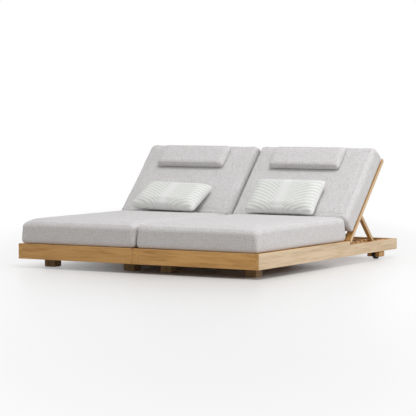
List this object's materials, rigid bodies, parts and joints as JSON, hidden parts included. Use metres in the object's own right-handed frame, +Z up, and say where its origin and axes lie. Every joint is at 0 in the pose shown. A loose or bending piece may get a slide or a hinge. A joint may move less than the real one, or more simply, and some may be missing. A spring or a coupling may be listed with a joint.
{
  "type": "double chaise lounger",
  "caption": "Wide teak sun lounger for a pair, with deep grey box cushions, slatted backs that recline on ratchet props, head cushions, throw pillows and rear wheels.",
  "frame": {"origin": "on the floor, under the middle of the pair", "axes": "+X to the right across the pair as seen from the foot end, +Y from the foot end to the head end, +Z up"},
  "size_m": [1.8, 2.02, 0.7918],
  "materials": {
    "teak": "oiled teak, satin",
    "grey_tweed": "light grey tweed weave",
    "pillow_cloth": "off-white ribbed weave",
    "wheel_black": "matte black",
    "glide_black": "matte black",
    "steel": "brushed"
  },
  "bodies": {
    "base": {"outer_side_rail_right": "teak", "inner_side_rail_right": "teak", "front_rail_right": "teak", "rear_rail_right": "teak", "hinge_rail_right": "teak", "foot_bearer_right": "teak", "wheel_bearer_right": "teak", "front_feet_right": "teak", "seat_ledges_right": "teak", "seat_runner_right": "teak", "seat_slats_right": "teak", "prop_racks_right": "teak", "wheel_cheeks_right": "teak", "fixed_hinge_leaves_right": "steel", "seat_cushion_right": "grey_tweed", "outer_side_rail_left": "teak", "inner_side_rail_left": "teak", "front_rail_left": "teak", "rear_rail_left": "teak", "hinge_rail_left": "teak", "foot_bearer_left": "teak", "wheel_bearer_left": "teak", "front_feet_left": "teak", "seat_ledges_left": "teak", "seat_runner_left": "teak", "seat_slats_left": "teak", "prop_racks_left": "teak", "wheel_cheeks_left": "teak", "fixed_hinge_leaves_left": "steel", "seat_cushion_left": "grey_tweed", "hinge_pins": "steel", "wheel_axles": "steel", "foot_glides": "glide_black", "joining_bolts": "steel"},
    "right_back": {"back_stiles_right": "teak", "back_bottom_rail_right": "teak", "back_top_rail_right": "teak", "back_slats_right": "teak", "moving_hinge_leaves_right": "steel", "prop_pins_right": "steel", "back_cushion_right": "grey_tweed", "head_cushion_right": "grey_tweed", "throw_pillow_right": "pillow_cloth"},
    "right_prop": {"prop_legs_right": "teak", "prop_bar_right": "teak"},
    "right_outer_wheel": {"outer_wheel_right": "wheel_black"},
    "right_inner_wheel": {"inner_wheel_right": "wheel_black"},
    "left_back": {"back_stiles_left": "teak", "back_bottom_rail_left": "teak", "back_top_rail_left": "teak", "back_slats_left": "teak", "moving_hinge_leaves_left": "steel", "prop_pins_left": "steel", "back_cushion_left": "grey_tweed", "head_cushion_left": "grey_tweed", "throw_pillow_left": "pillow_cloth"},
    "left_prop": {"prop_legs_left": "teak", "prop_bar_left": "teak"},
    "left_outer_wheel": {"outer_wheel_left": "wheel_black"},
    "left_inner_wheel": {"inner_wheel_left": "wheel_black"}
  },
  "joints": [
    {"name": "right_recline", "type": "hinge", "parent": "base", "child": "right_back", "pos_m": [0.45, 0.261, 0.16], "axis": [1, 0, 0], "range_deg": [-46.5, 0]},
    {"name": "right_prop_fold", "type": "hinge", "parent": "right_back", "child": "right_prop", "pos_m": [0.45, 0.48175, 0.37374], "axis": [1, 0, 0], "range_deg": [0, 89.7]},
    {"name": "right_outer_wheel_spin", "type": "hinge", "parent": "base", "child": "right_outer_wheel", "pos_m": [0.825, 0.8245, 0.028], "axis": [1, 0, 0], "continuous": true},
    {"name": "right_inner_wheel_spin", "type": "hinge", "parent": "base", "child": "right_inner_wheel", "pos_m": [0.075, 0.8245, 0.028], "axis": [1, 0, 0], "continuous": true},
    {"name": "left_recline", "type": "hinge", "parent": "base", "child": "left_back", "pos_m": [-0.45, 0.261, 0.16], "axis": [1, 0, 0], "range_deg": [-46.5, 0]},
    {"name": "left_prop_fold", "type": "hinge", "parent": "left_back", "child": "left_prop", "pos_m": [-0.45, 0.48175, 0.37374], "axis": [1, 0, 0], "range_deg": [0, 89.7]},
    {"name": "left_outer_wheel_spin", "type": "hinge", "parent": "base", "child": "left_outer_wheel", "pos_m": [-0.825, 0.8245, 0.028], "axis": [1, 0, 0], "continuous": true},
    {"name": "left_inner_wheel_spin", "type": "hinge", "parent": "base", "child": "left_inner_wheel", "pos_m": [-0.075, 0.8245, 0.028], "axis": [1, 0, 0], "continuous": true}
  ],
  "couplings": [
    {"joint": "right_prop_fold", "follows": "right_recline", "ratio": -1.929},
    {"joint": "left_prop_fold", "follows": "left_recline", "ratio": -1.929}
  ]
}
